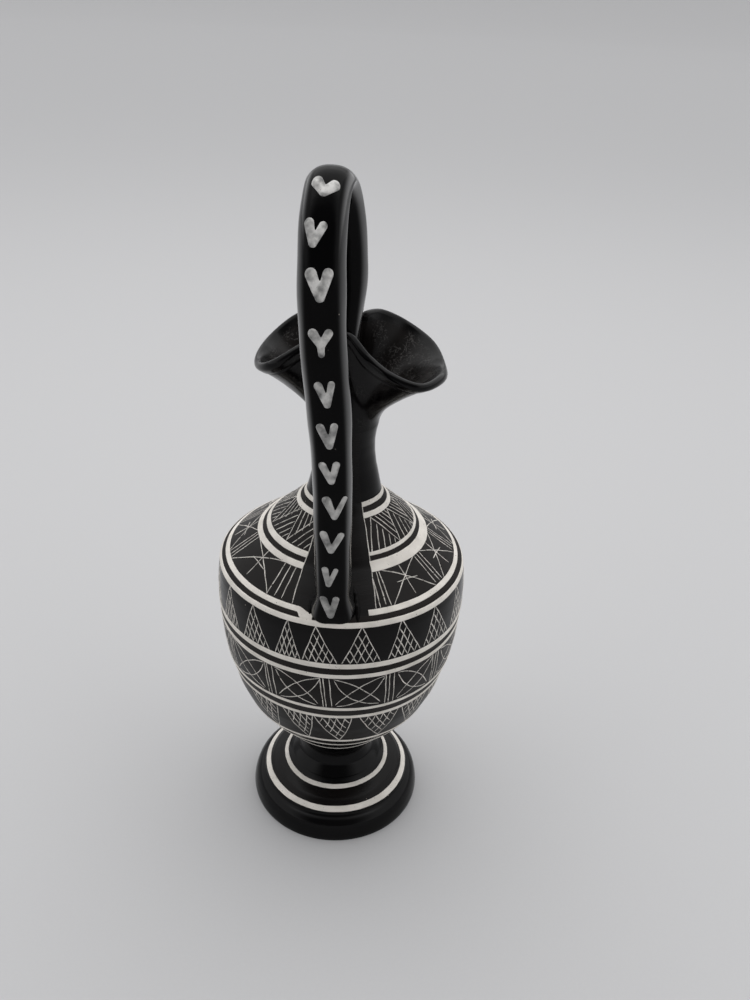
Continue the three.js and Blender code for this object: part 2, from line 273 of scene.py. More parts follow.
def place(piece, slot, *nodes):
    """Makes the piece ride on the jug's one body and stand for its CAD nodes."""
    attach(piece, "root")
    if nodes:
        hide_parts(*nodes)
    return piece


# --- The turned surface -------------------------------------------------------------------


def node_outline(node):
    """Outside points of a turned CAD node as [radius, height] rows from the bottom up."""
    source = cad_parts[node]
    points = np.array([v.co for v in source.data.vertices]) / MM
    column = points[(np.abs(points[:, 0]) < 0.01) & (points[:, 1] < -0.1)]
    rows = sorted({(round(-y, 2), round(z, 2)) for _, y, z in column}, key=lambda row: row[1])
    heights = [z for _, z in rows]
    middle = (heights[0] + heights[-1]) / 2
    outside = []
    for radius, height in rows:
        level = height + math.copysign(0.01, middle - height)
        hit, where, _, _ = source.ray_cast((0, -0.1, level * MM), (0, 1, 0))
        if hit and abs(where.y / MM + radius) < 0.12:
            outside.append((radius, height))
    return outside


def seam_heights():
    """Height of the bottom, of each seam between two turned pieces, and of the top."""
    boxes = [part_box(node) for node in TURNED_NODES]
    seams = [(boxes[i][1].z + boxes[i + 1][0].z) / 2 / MM for i in range(len(boxes) - 1)]
    return [boxes[0][0].z / MM, *seams, boxes[-1][1].z / MM]


def smooth_outline(corners):
    """Radius and height along the whole turned outline, with its corners softened."""
    step = 0.1
    fine = resample(corners, step)
    reach = int(4 * OUTLINE_SOFTENING / step)
    offsets = np.arange(-reach, reach + 1) * step
    weights = np.exp(-0.5 * (offsets / OUTLINE_SOFTENING) ** 2)
    weights /= weights.sum()
    before = 2 * fine[0] - fine[reach:0:-1]
    after = 2 * fine[-1] - fine[-2 : -reach - 2 : -1]
    padded = np.vstack([before, fine, after])
    return np.stack([np.convolve(column, weights, "valid") for column in padded.T], axis=1)


SEAMS = seam_heights()
CORNERS = np.array([row for node in TURNED_NODES for row in node_outline(node)])
CORNER_ARCS = arc_lengths(CORNERS)
OUTLINE = smooth_outline(CORNERS)
ARCS = np.linspace(0, CORNER_ARCS[-1], len(OUTLINE))
OUTLINE_NORMALS = unit(np.gradient(OUTLINE, axis=0)[:, ::-1] * (1, -1))


def arc_at(height):
    """Length along the outline from the foot's edge up to a height."""
    return np.interp(height, CORNERS[:, 1], CORNER_ARCS)


def wobble(angle, arc):
    """Unevenness of the hand-thrown wall."""
    turn = np.radians(angle)
    slow = 0.12 * np.sin(2 * turn + arc / 31) + 0.06 * np.sin(5 * turn - arc / 17)
    rings = 0.02 * np.sin(arc / 1.3 + 2 * np.sin(turn)) + 0.02 * np.sin(arc / 3.1 - turn)
    middle = smoothstep(arc, 4, 30) * (1 - smoothstep(arc, ARCS[-1] - 14, ARCS[-1] - 2))
    return (slow + rings) * middle


def surface(angle, arc, lift=0.0):
    """Points on the turned surface, lifted along its outward normal."""
    turn = np.radians(angle)
    radius, height = (np.interp(arc, ARCS, column) for column in OUTLINE.T)
    out, up = (np.interp(arc, ARCS, column) for column in OUTLINE_NORMALS.T)
    radius = radius + wobble(angle, arc) + lift * out
    x, y, z = np.broadcast_arrays(radius * np.cos(turn), radius * np.sin(turn), height + lift * up)
    return np.stack([x, y, z], axis=-1)


def surface_normal(angle, arc):
    return surface(angle, arc, 1.0) - surface(angle, arc, 0.0)


def band_arcs(node):
    """Both ends of the straight stretch of outline that a slip band lies on."""
    low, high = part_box(node)
    level = (low.z + high.z) / 2 / MM
    centres = (CORNERS[1:, 1] + CORNERS[:-1, 1]) / 2
    stretch = int(np.argmin(np.abs(centres - level)))
    return CORNER_ARCS[stretch], CORNER_ARCS[stretch + 1]


# --- Materials ----------------------------------------------------------------------------


def shader_nodes(name):
    """A new material with its node adder, link function and Principled shader."""
    material = bpy.data.materials.new(name)
    material.use_nodes = True
    tree = material.node_tree
    add = lambda kind: tree.nodes.new("ShaderNode" + kind)
    return material, add, tree.links.new, tree.nodes["Principled BSDF"]


def noise_node(add, link, vector, scale, detail=3.0):
    node = add("TexNoise")
    node.inputs["Scale"].default_value = scale
    node.inputs["Detail"].default_value = detail
    link(vector, node.inputs["Vector"])
    return node.outputs["Fac"]


def range_node(add, link, value, low, high, to_low, to_high):
    node = add("MapRange")
    for name, number in zip(("From Min", "From Max", "To Min", "To Max"), (low, high, to_low, to_high)):
        node.inputs[name].default_value = number
    link(value, node.inputs["Value"])
    return node.outputs["Result"]


def mix_colours(add, link, share, first, second):
    """Mix of two colours or colour sockets by a share socket."""
    node = add("Mix")
    node.data_type = "RGBA"
    for name, colour in (("A", first), ("B", second)):
        target = next(s for s in node.inputs if s.name == name and s.type == "RGBA")
        if isinstance(colour, tuple):
            target.default_value = (*colour, 1)
        else:
            link(colour, target)
    link(share, node.inputs[0])
    return next(s for s in node.outputs if s.type == "RGBA")


def add_numbers(add, link, first, second, operation="ADD"):
    node = add("Math")
    node.operation = operation
    for socket, value in zip(node.inputs, (first, second)):
        if isinstance(value, (int, float)):
            socket.default_value = value
        else:
            link(value, socket)
    return node.outputs[0]


def scratches(add, link, where, matt, clay):
    """Patches of fine pale scratches over the matt parts of a clay colour."""
    field = noise_node(add, link, where, 620, 5)
    distance = add_numbers(add, link, add_numbers(add, link, field, 0.5, "SUBTRACT"), 0, "ABSOLUTE")
    lines = range_node(add, link, distance, 0.004, 0.02, 1, 0)
    patches = range_node(add, link, noise_node(add, link, where, 120, 4), 0.46, 0.56, 0, 1)
    share = add_numbers(add, link, add_numbers(add, link, lines, patches, "MULTIPLY"), matt, "MULTIPLY")
    return mix_colours(add, link, share, clay, (0.16, 0.155, 0.15))


POLISH_IOR = 1.9
POLISH_ROUGHNESS = 0.16


def black_clay(name, streaks, ior, scratched=False):
    """Burnished black clay, matt and brown where unburnished, with a coat of polish at edges.

    Streaks are the scales of the burnisher's marks, which are long in the direction of the
    smallest.
    """
    material, add, link, shader = shader_nodes(name)
    where = add("TexCoord").outputs["Object"]
    stretch = add("Mapping")
    stretch.inputs["Scale"].default_value = streaks
    link(where, stretch.inputs["Vector"])
    marks = noise_node(add, link, stretch.outputs["Vector"], 1.0, 4)
    clouds = noise_node(add, link, where, 55, 4)
    grain = noise_node(add, link, where, 2600, 2)
    matt = add("Attribute")
    matt.attribute_name = "matt"
    matt = matt.outputs["Fac"]

    glossy = mix_colours(add, link, clouds, (0.0008, 0.0008, 0.001), (0.0022, 0.002, 0.0022))
    brown = mix_colours(add, link, clouds, (0.006, 0.0045, 0.0038), (0.013, 0.0098, 0.0085))
    clay = mix_colours(add, link, matt, glossy, brown)
    if scratched:
        clay = scratches(add, link, where, matt, clay)

    specks = add("TexVoronoi")
    specks.inputs["Scale"].default_value = 230
    link(where, specks.inputs["Vector"])
    dots = range_node(add, link, specks.outputs["Distance"], 0.03, 0.055, 1, 0)
    rare = range_node(add, link, clouds, 0.56, 0.6, 0, 0.8)
    dust = add_numbers(add, link, dots, rare, "MULTIPLY")
    link(mix_colours(add, link, dust, clay, (0.42, 0.38, 0.33)), shader.inputs["Base Color"])

    burnish = range_node(add, link, marks, 0.3, 0.7, 0.11, 0.21)
    dull = add_numbers(add, link, matt, 0.34, "MULTIPLY")
    rough = add_numbers(add, link, burnish, dull)
    link(rough, shader.inputs["Roughness"])
    shader.inputs["IOR"].default_value = ior
    polish = add("Attribute")
    polish.attribute_name = "polish"
    link(polish.outputs["Fac"], shader.inputs["Coat Weight"])
    shader.inputs["Coat IOR"].default_value = POLISH_IOR
    shader.inputs["Coat Roughness"].default_value = POLISH_ROUGHNESS

    relief = add_numbers(add, link, marks, add_numbers(add, link, grain, 0.35, "MULTIPLY"))
    bump = add("Bump")
    bump.inputs["Strength"].default_value = 0.22
    bump.inputs["Distance"].default_value = 0.00012
    link(relief, bump.inputs["Height"])
    link(bump.outputs["Normal"], shader.inputs["Normal"])
    return material


def white_slip(name, thin, thick, patch_scale, worn, faded_below=0.0):
    """Chalky slip: thick where the brush left it, darker where the black clay shows through.

    Below a height in metres the slip's colour runs darker and darker towards the bottom.
    """
    material, add, link, shader = shader_nodes(name)
    where = add("TexCoord").outputs["Object"]
    patches = noise_node(add, link, where, patch_scale, 4)
    cover = range_node(add, link, patches, 0.32, 0.62, 0, 1)
    if faded_below:
        axes = add("SeparateXYZ")
        link(where, axes.inputs["Vector"])
        # Below faded_below the cover drops, so the slip's colour runs darker towards the bottom.
        height_fade = range_node(add, link, axes.outputs["Z"], 0.12, faded_below, 0.45, 1)
        cover = add_numbers(add, link, cover, height_fade, "MULTIPLY")
    slip = mix_colours(add, link, cover, thin, thick)
    grain = noise_node(add, link, where, 1500, 3)
    pits = range_node(add, link, grain, worn - 0.04, worn, 1, 0)
    link(mix_colours(add, link, pits, slip, (0.06, 0.052, 0.045)), shader.inputs["Base Color"])
    link(range_node(add, link, patches, 0.2, 0.8, 0.85, 0.6), shader.inputs["Roughness"])
    shader.inputs["Specular IOR Level"].default_value = 0.3
    bump = add("Bump")
    bump.inputs["Strength"].default_value = 0.35
    bump.inputs["Distance"].default_value = 0.00015
    link(grain, bump.inputs["Height"])
    link(bump.outputs["Normal"], shader.inputs["Normal"])
    return material


THROWN_CLAY = black_clay("thrown_clay", (60, 60, 900), 1.24)
PULLED_CLAY = black_clay("pulled_clay", (900, 900, 90), 1.17)
LIP_CLAY = black_clay("lip_clay", (500, 500, 90), 1.25, scratched=True)
BAND_SLIP = white_slip("band_slip", (0.70, 0.665, 0.61), (0.84, 0.80, 0.74), 160, 0.31)
LINE_SLIP = white_slip("line_slip", (0.42, 0.40, 0.37), (0.80, 0.765, 0.71), 420, 0.38)
HEART_SLIP = white_slip("heart_slip", (0.15, 0.15, 0.148), (0.78, 0.77, 0.745), 330, 0.30, 0.24)


# --- Turned clay --------------------------------------------------------------------------

PANEL_MATTNESS = 0.3
# How matt the clay is between two slip bands: 1 is unburnished.
MATT_ZONES = [
    ("foot_band_lower", "foot_band_upper", 0.35),
    ("bowl_line_top", "belly_band_1", 0.55),
    ("belly_band_1", "belly_band_2", 1.0),
    ("belly_band_2", "belly_band_3", 0.6),
    ("belly_band_3", "belly_band_4", 1.0),
    ("belly_band_4", "shoulder_band_1", 0.12),
    ("shoulder_band_1", "shoulder_band_2", 1.0),
    ("shoulder_band_2", "shoulder_band_3", 0.6),
    ("shoulder_band_3", "shoulder_band_4", 1.0),
    ("shoulder_band_4", "neck_band_1", 0.75),
    ("neck_band_1", "neck_band_2", 1.0),
]


def panel_side(angle, arc):
    """How far inside the plain panel a point is, in degrees, negative outside it."""
    heights, left, right = np.array(PANEL_BORDERS).T
    turn = (np.asarray(angle) + 270) % 360 - 270
    inside_left = turn - np.interp(arc, arc_at(heights), left)
    inside_right = np.interp(arc, arc_at(heights), right) - turn
    return np.minimum(inside_left, inside_right)


def mattness(angle, arc):
    """How matt the clay is at points of the turned surface."""
    value = np.zeros(np.broadcast(angle, arc).shape)
    for below, above, share in MATT_ZONES:
        inside = (arc > np.mean(band_arcs(below))) & (arc < np.mean(band_arcs(above)))
        value = np.where(inside, share, value)
    panel = (panel_side(angle, arc) > 0) & (arc > arc_at(PANEL_BORDERS[0][0]))
    return np.where(panel, PANEL_MATTNESS, value)


def turned_piece(name, arcs, inside):
    """A closed turned mesh: up the outline along the arcs, then through [radius, height] points."""
    angles = np.arange(SEGMENTS) * 360 / SEGMENTS
    turn = np.radians(angles)
    circle = np.stack([np.cos(turn), np.sin(turn), np.ones(SEGMENTS)], axis=-1)
    inner = [circle * (radius, radius, height) for radius, height in inside]
    vertices = np.concatenate([surface(angles, arcs[:, None]), inner])
    matt = np.concatenate([mattness(angles, arcs[:, None]), np.zeros((len(inner), SEGMENTS))])
    faces = grid_faces(len(vertices), SEGMENTS, wrap_rows=True, wrap_columns=True)
    piece = new_object(name, vertices, faces, THROWN_CLAY, matt)
    return place(piece, "black_clay", name)


def outer_arcs(low, high):
    """Arc lengths of the rings of the outer surface between two heights."""
    start, end = arc_at(low), arc_at(high)
    return np.linspace(start, end, int((end - start) / OUTLINE_STEP) + 2)


def wall_inside(low, high, thickness):
    """Points of the inside of a wall, from the top down."""
    heights = np.linspace(high, low, max(int((high - low) / 2), 4))
    arcs = arc_at(heights)
    radii = np.interp(arcs, ARCS, OUTLINE[:, 0])
    out = np.interp(arcs, ARCS, OUTLINE_NORMALS[:, 0])
    return [(radius - thickness / share, height) for radius, height, share in zip(radii, heights, out)]


def foot():
    hollow = [(0, 12.5), (8, 12), (16, 10.5), (20.5, 8.6), (23.5, 5.5)]
    edge = [(25.4, 2.4), (26.2, 0.6), (27, 0)]
    turned_piece("foot", outer_arcs(SEAMS[0], SEAMS[1]), [(0, SEAMS[1]), *hollow, *edge])


def stem():
    turned_piece("stem", outer_arcs(SEAMS[1], SEAMS[2]), [(0, SEAMS[2]), (0, SEAMS[1])])


def bowl():
    wall = wall_inside(BOWL_FLOOR + 5, SEAMS[3], WALL)
    floor = [(17, BOWL_FLOOR + 2.2), (12, BOWL_FLOOR + 0.6), (0, BOWL_FLOOR)]
    turned_piece("bowl", outer_arcs(SEAMS[2], SEAMS[3]), [*wall, *floor, (0, SEAMS[2])])


def shoulder():
    turned_piece("shoulder", outer_arcs(SEAMS[3], SEAMS[4]), wall_inside(SEAMS[3], SEAMS[4], WALL))


def neck():
    turned_piece("neck", outer_arcs(SEAMS[4], SEAMS[5]), wall_inside(SEAMS[4], SEAMS[5], NECK_WALL))


# --- Mouth --------------------------------------------------------------------------------


def lip_curves():
    """The rim's and the throat's middle lines, with matching points."""
    rim = catmull_rom([row[1:] for row in RIM], True, 40)
    throat = []
    for degrees, *_ in RIM:
        turn = math.radians(degrees)
        throat.append((THROAT_RADIUS * math.cos(turn), THROAT_RADIUS * math.sin(turn), SEAMS[5]))
    throat = catmull_rom(throat, True, 40)
    at = np.linspace(0, len(rim), MOUTH_COLUMNS, endpoint=False)
    pick = lambda curve: np.stack(
        [np.interp(at, np.arange(len(curve) + 1), np.append(c, c[0])) for c in curve.T], axis=1
    )
    return pick(rim), pick(throat)


def lip_middle(rim, throat, climb):
    """Middle of the lip's wall: rows climb from the throat to the rim, one column each way round."""
    knee = throat * FLARE_SPREAD
    knee[:, 2] = throat[:, 2] + (rim[:, 2] - throat[:, 2]) * FLARE_START
    c = climb[..., None]
    return throat * (1 - c) ** 2 + 2 * knee * c * (1 - c) + rim * c**2


def mouth():
    """The lip: up the outside, over the beaded rim and down the inside."""
    rim, throat = lip_curves()
    guide = lip_middle(rim, throat, np.linspace(0, 1, 60)[:, None] * np.ones(MOUTH_COLUMNS))
    length = np.linalg.norm(np.diff(guide, axis=0), axis=2).sum(0)
    coarse = np.linspace(0, 1, 26, endpoint=False)[:, None] * (1 - (FINE_REACH + 0.2) / length)
    fine = 1 - np.linspace(FINE_REACH, 0, 27)[:, None] / length
    climb = np.vstack([coarse, fine])
    from_rim = (1 - climb) * length
    middle = lip_middle(rim, throat, climb)
    up = unit(np.gradient(middle, axis=0))
    around = unit(np.roll(middle, -1, axis=1) - np.roll(middle, 1, axis=1))
    normal = unit(np.cross(around, up))

    column = np.arange(MOUTH_COLUMNS)[None] * 2 * math.pi / MOUTH_COLUMNS
    hand = 0.12 * np.sin(7 * column + from_rim / 6) + 0.08 * np.sin(13 * column - from_rim / 3)
    hand *= smoothstep(climb, 0.05, 0.3)
    bead = BEAD_SWELL * (1 - smoothstep(from_rim, BEAD_WIDTH * 0.7, BEAD_WIDTH))
    groove = GROOVE_DEPTH * np.exp(-(((from_rim - BEAD_WIDTH) / GROOVE_WIDTH) ** 2))
    outer = LIP_HALF_THICKNESS + bead - groove + hand
    inner = LIP_HALF_THICKNESS + 0.5 * hand
    rows = [middle + normal * outer[..., None]]
    for i in range(1, RIM_ROUNDING):
        turn = math.pi * i / RIM_ROUNDING
        side = np.where(math.cos(turn) > 0, outer[-1], inner[-1]) * math.cos(turn)
        over = math.sin(turn) * (outer[-1] + inner[-1]) / 2
        rows.append((middle[-1] + normal[-1] * side[:, None] + up[-1] * over[:, None])[None])
    rows.append((middle - normal * inner[..., None])[::-1])
    vertices = np.concatenate(rows)

    patch = 0.5 + 0.5 * np.sin(3 * column + 1.2) * np.sin(climb * 9 + 2 * np.sin(2 * column))
    inside_matt = (0.3 + 0.4 * patch) * smoothstep(from_rim, 0.5, 3)
    rim_matt = np.zeros((RIM_ROUNDING - 1, MOUTH_COLUMNS))
    matt = np.concatenate([0.1 + 0 * climb, rim_matt, inside_matt[::-1]])
    faces = grid_faces(len(vertices), MOUTH_COLUMNS, wrap_rows=True, wrap_columns=True)
    piece = new_object("mouth", vertices, faces, LIP_CLAY, matt)
    return place(piece, "black_clay", "mouth")


# --- Handle -------------------------------------------------------------------------------

STRAP_LINE = resample(catmull_rom(HANDLE_PATH, False, 60), 0.5)
STRAP_LENGTHS = arc_lengths(STRAP_LINE)


def strap_frame(share):
    """Point, width axis, outward axis and direction of the strap at shares of its length."""
    at = np.asarray(share, float) * STRAP_LENGTHS[-1]
    sample = lambda rows: np.stack([np.interp(at, STRAP_LENGTHS, c) for c in rows.T], axis=-1)
    along = unit(sample(np.gradient(STRAP_LINE, axis=0)))
    across = np.array([1.0, 0, 0]) - along[..., :1] * along
    across = unit(across)
    return sample(STRAP_LINE), across, np.cross(across, along), along


def strap_width(share):
    """Width of the strap: splayed at the root, narrow below, full above and narrow at the lip."""
    flare = 1 - smoothstep(share, *ROOT_SPLAY)
    full = smoothstep(share, *WAIST_TO_FULL)
    tip = smoothstep(share, *TIP_TAPER)
    body = STRAP_WAIST_WIDTH + (STRAP_WIDTH - STRAP_WAIST_WIDTH) * full
    rooted = body + (STRAP_ROOT_WIDTH - body) * flare
    return rooted + (STRAP_TIP_WIDTH - rooted) * tip


def strap_thickness(share):
    flare = 1 - smoothstep(share, *ROOT_SWELL)
    return STRAP_THICKNESS + (STRAP_ROOT_THICKNESS - STRAP_THICKNESS) * flare


def face_power(share):
    """How flat the strap's face is: rounder where it turns over the top."""
    crest = STRAP_LENGTHS[np.argmax(STRAP_LINE[:, 2])] / STRAP_LENGTHS[-1]
    near = np.exp(-(((share - crest) / CREST_REACH) ** 2))
    return FACE_POWER + (CREST_FACE_POWER - FACE_POWER) * near


def strap_point(share, across, lift):
    """Points on the strap's outer face, a distance across from its middle, lifted outwards."""
    point, side, outward, _ = strap_frame(share)
    half = strap_width(share) / 2
    cut = np.clip(np.abs(across) / half, 0, 0.98) ** face_power(share)
    height = strap_thickness(share) / 2 * (1 - cut) ** (1 / SIDE_POWER)
    return point + side * np.asarray(across)[..., None] + outward * (height + lift)[..., None]


def handle():
    """The strap, with unevenly pulled sides and polished edges."""
    sides, stations = STRAP_SIDES, STRAP_STATIONS
    share = np.linspace(0, 1, stations)
    point, across, outward, _ = strap_frame(share)
    turn = np.arange(sides) * 2 * math.pi / sides
    bend = lambda value, power: np.sign(value) * np.abs(value) ** (2 / power)
    hand = 1 + 0.012 * np.sin(share * 37)[:, None] + 0.01 * np.sin(share * 71 + 1)[:, None]
    half_width = strap_width(share)[:, None] / 2
    wide = half_width * bend(np.cos(turn), face_power(share)[:, None]) * hand
    deep = strap_thickness(share)[:, None] / 2 * bend(np.sin(turn), SIDE_POWER)
    middle = point[:, None]
    vertices = middle + across[:, None] * wide[..., None] + outward[:, None] * deep[..., None]
    polish = smoothstep(np.abs(wide) / half_width, *POLISHED_EDGE)
    faces = grid_faces(stations, sides, wrap_columns=True)
    caps = [list(range(sides)), list(range((stations - 1) * sides, stations * sides))]
    piece = new_object("handle", vertices, faces + caps, PULLED_CLAY, polish=polish)
    return place(piece, "black_clay", "handle")


# Smears of luting clay beside the strap's root, seen from above.
LUTING_PATHS = [
    ("root_luting_right", [(7.2, -42.3), (7.1, -40.5), (6.7, -38), (6.1, -35), (5.2, -32.5)]),
    ("root_luting_left", [(-8.2, -40.8), (-8.1, -39), (-7.6, -37), (-7, -35), (-6, -33)]),
]
SMEAR_WIDTH = 1.9
SMEAR_HEIGHT = 0.7
SMEAR_SIDES = 14
SMEAR_MATTNESS = 0.1


def clay_smear(name, path, outward):
    """An uneven ridge of clay smeared along an open path, fading out at both ends."""
    count = len(path)
    along = unit(np.gradient(path, axis=0))
    side = unit(np.cross(along, outward))
    turn = np.arange(SMEAR_SIDES) * 2 * math.pi / SMEAR_SIDES
    t = np.linspace(0, 1, count)
    fade = np.sin(math.pi * t) ** 0.6
    uneven = fade * (1 + 0.06 * np.sin(17 * t) + 0.04 * np.sin(41 * t + 1))
    wide = (SMEAR_WIDTH / 2 * uneven)[:, None] * np.cos(turn)
    high = (SMEAR_HEIGHT * uneven)[:, None] * np.sin(turn)
    vertices = path[:, None] + side[:, None] * wide[..., None] + outward[:, None] * high[..., None]
    faces = grid_faces(count, SMEAR_SIDES, wrap_columns=True)
    matt = np.full((count, SMEAR_SIDES), SMEAR_MATTNESS)
    piece = new_object(name, vertices, faces, PULLED_CLAY, matt)
    return place(piece, "black_clay")


def root_luting():
    """Clay smeared along both sides of the strap's root on the shoulder."""
    shoulder_rows = ARCS > arc_at(SEAMS[3])
    for name, corners in LUTING_PATHS:
        path = catmull_rom(corners, False, 20)
        radius = np.hypot(*path.T)
        arc = np.interp(-radius, -OUTLINE[shoulder_rows, 0], ARCS[shoulder_rows])
        angle = np.degrees(np.arctan2(path[:, 1], path[:, 0]))
        clay_smear(name, surface(angle, arc), surface_normal(angle, arc))


# --- Slip bands ---------------------------------------------------------------------------

# How far the lower and the upper edge of a band move: on the -X side, then on the +X side.
EDGE_SHIFTS = {
    "belly_band_1": ((0.0, -0.2), (0.0, -0.2)),
    "belly_band_2": ((0.0, -0.35), (-0.05, -0.35)),
    "belly_band_3": ((0.1, -0.1), (0.15, -0.25)),
    "belly_band_4": ((-0.35, -0.25), (-0.6, -0.45)),
    "shoulder_band_1": ((-0.15, -0.1), (-0.45, -0.45)),
    "shoulder_band_3": ((0.1, -0.1), (0.3, 1.66)),
    "shoulder_band_4": ((-0.75, -0.55), (1.0, 0.4)),
    "neck_band_1": ((-0.2, -0.35), (0.2, 0.0)),
    "neck_band_2": ((0.0, -0.2), (0.4, 0.1)),
}
OPEN_BANDS = ["shoulder_band_2", "shoulder_band_3", "shoulder_band_4", "neck_band_1", "neck_band_2"]
BAND_STEP = 0.75  # degrees between two sections of a band
EDGE_UNEVENNESS = 0.04  # per millimetre of band width
WIDEST_UNEVEN = 2  # width past which a band's edges get no more uneven
EDGE_BAND_ENDS = (-75.0, 260.0)  # start and end angle of the second shoulder band
MERGE_ANGLES = (252.6, 255.0)  # where its lower edge runs down into the first band
MERGE_END = 259.0  # where its upper edge has come down as well
MERGE_DROP = 1.5
MERGE_OVERLAP = 0.3
# Across a band: share of its width, and rise over the clay.
BAND_SECTION = [
    (0.0, -SLIP_DEPTH),
    (0.0, 0.0),
    (0.06, 0.8 * SLIP_RISE),
    (0.2, SLIP_RISE),
    (0.5, 0.9 * SLIP_RISE),
    (0.8, SLIP_RISE),
    (0.94, 0.8 * SLIP_RISE),
    (1.0, 0.0),
    (1.0, -SLIP_DEPTH),
]


def band_ends(node):
    """Start and end angle of a band that stops at the plain panel, going round by +Y."""
    if node == "shoulder_band_2":
        return EDGE_BAND_ENDS
    heights, left, right = np.array(PANEL_BORDERS).T
    level = np.mean(band_arcs(node))
    borders = (np.interp(level, arc_at(heights), side) for side in (right, left))
    start, end = (float(border) for border in borders)
    return start, end + 360


def hand_edge(angle, seed, size):
    """Unevenness of a brushed edge round the jug."""
    local = np.random.default_rng(seed)
    turn = np.radians(angle)
    waves = [(2, 0.5), (3, 0.5), (7, 0.35), (13, 0.25), (29, 0.2), (61, 0.15)]
    return size * sum(part * np.sin(k * turn + local.uniform(0, 6.3)) for k, part in waves)


def band(index, node):
    """A slip band with brushed edges, which may stop at the plain panel or run round the jug."""
    low, high = band_arcs(node)
    closed = node not in OPEN_BANDS
    start, end = (-90, 270) if closed else band_ends(node)
    count = int((end - start) / BAND_STEP)
    angle = np.linspace(start, end, count, endpoint=not closed)
    right = smoothstep(np.cos(np.radians(angle)), -0.3, 0.3)
    left_shift, right_shift = EDGE_SHIFTS.get(node, ((0, 0), (0, 0)))
    size = EDGE_UNEVENNESS * min(high - low, WIDEST_UNEVEN)
    lower = low + left_shift[0] + (right_shift[0] - left_shift[0]) * right
    upper = high + left_shift[1] + (right_shift[1] - left_shift[1]) * right
    lower = lower + hand_edge(angle, 10 + index, size)
    upper = upper + hand_edge(angle, 50 + index, size)
    if node == "shoulder_band_2":
        gap = low - band_arcs("shoulder_band_1")[1]
        lower -= (gap + MERGE_OVERLAP) * smoothstep(angle, *MERGE_ANGLES)
        upper -= MERGE_DROP * smoothstep(angle, MERGE_ANGLES[0], MERGE_END)
    share, rise = np.array(BAND_SECTION).T
    arcs = lower[:, None] + (upper - lower)[:, None] * share
    vertices = surface(angle[:, None], arcs, rise)
    columns = len(BAND_SECTION)
    faces = grid_faces(count, columns, wrap_rows=closed, wrap_columns=True)
    if not closed:
        faces += [list(range(columns)), list(range((count - 1) * columns, count * columns))]
    piece = new_object("slip_" + node, vertices, faces, BAND_SLIP, sharp=60)
    return place(piece, "white_slip", node)


def bands():
    nodes = sorted(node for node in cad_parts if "_band_" in node or "_line_" in node)
    for index, node in enumerate(nodes):
        band(index, node)


# --- Scratched patterns -------------------------------------------------------------------

# Across a scratched line: share of its width, and rise.
LINE_SECTION = [(-0.5, -0.05), (-0.3, 0.05), (0.0, 0.075), (0.3, 0.05), (0.5, -0.05), (0.0, -0.12)]


def straight(start, end, bow=0.0):
    """Points from one [angle, arc] to another, bowed sideways by some degrees."""
    t = np.linspace(0, 1, 40)[:, None]
    path = np.asarray(start) * (1 - t) + np.asarray(end) * t
    path[:, 0] += bow * np.sin(math.pi * t[:, 0])
    return path


def chord(start, end):
    """Points of a stroke on the shoulder that is straight when seen from above."""
    t = np.linspace(0, 1, 40)
    shoulder_rows = ARCS > arc_at(SEAMS[3])
    flat = 0
    for (angle, arc), share in ((start, 1 - t), (end, t)):
        radius, turn = np.interp(arc, ARCS, OUTLINE[:, 0]), math.radians(angle)
        flat = flat + radius * np.exp(1j * turn) * share
    arcs = np.interp(-np.abs(flat), -OUTLINE[shoulder_rows, 0], ARCS[shoulder_rows])
    turned = (np.degrees(np.angle(flat)) - start[0] + 180) % 360 - 180
    return np.stack([start[0] + turned, arcs], axis=1)


def bent(start, control, end):
    t = np.linspace(0, 1, 60)[:, None]
    start, control, end = map(np.asarray, (start, control, end))
    return start * (1 - t) ** 2 + 2 * control * t * (1 - t) + end * t**2


def outside_panel(path):
    """The stretches of a path that lie outside the plain panel."""
    clear = panel_side(path[:, 0], path[:, 1]) < 0
    runs, run = [], []
    for point, kept in zip(path, clear):
        if kept:
            run.append(point)
            continue
        runs.append(run)
        run = []
    return [np.array(r) for r in [*runs, run] if len(r) > 4]


def line_mesh(path, width):
    """Vertices and faces of one line that lies on the turned surface."""
    coarse = surface(path[:, 0], path[:, 1])
    length = arc_lengths(coarse)
    if length[-1] < 0.8:
        return None
    count = max(int(length[-1] / 0.55), 4)
    at = np.linspace(0, length[-1], count)
    angle, arc = (np.interp(at, length, column) for column in path.T)
    shake = 0.05 * np.sin(at / rng.uniform(0.8, 1.6) + rng.uniform(0, 6))
    centre = surface(angle, arc)
    normal = surface_normal(angle, arc)
    along = unit(np.gradient(centre, axis=0))
    side = np.cross(along, normal)
    centre = centre + side * shake[:, None]
    pressure = 1 + 0.18 * np.sin(at / 2.3 + rng.uniform(0, 6)) + rng.uniform(-0.12, 0.12, count)
    taper = 0.35 + 0.65 * np.minimum(smoothstep(at, 0, 0.9), smoothstep(at[-1] - at, 0, 0.9))
    across, rise = np.array(LINE_SECTION).T
    wide = (width * pressure * taper)[:, None] * across[None]
    vertices = centre[:, None] + side[:, None] * wide[..., None]
    vertices = vertices + normal[:, None] * rise[None, :, None]
    columns = len(LINE_SECTION)
    faces = grid_faces(count, columns, wrap_columns=True)
    faces += [list(range(columns)), list(range((count - 1) * columns, count * columns))]
    return vertices.reshape(-1, 3), faces


def scratched(name, paths, width=LINE_WIDTH):
    """All the lines of one zone as one piece."""
    made = [line_mesh(path, width) for path in paths]
    vertices, faces = merged(mesh for mesh in made if mesh is not None)
    piece = new_object(name, vertices, faces, LINE_SLIP, sharp=80)
    return place(piece, "white_slip")


def zone(below, above):
    """Lowest and highest arc of the clay between two bands."""
    return band_arcs(below)[1] - 0.1, band_arcs(above)[0] + 0.1


def jitter(size):
    return rng.uniform(-size, size)


HATCH_SHARES = (0.2, 0.4, 0.6, 0.8)  # where a triangle's hatching starts along its base


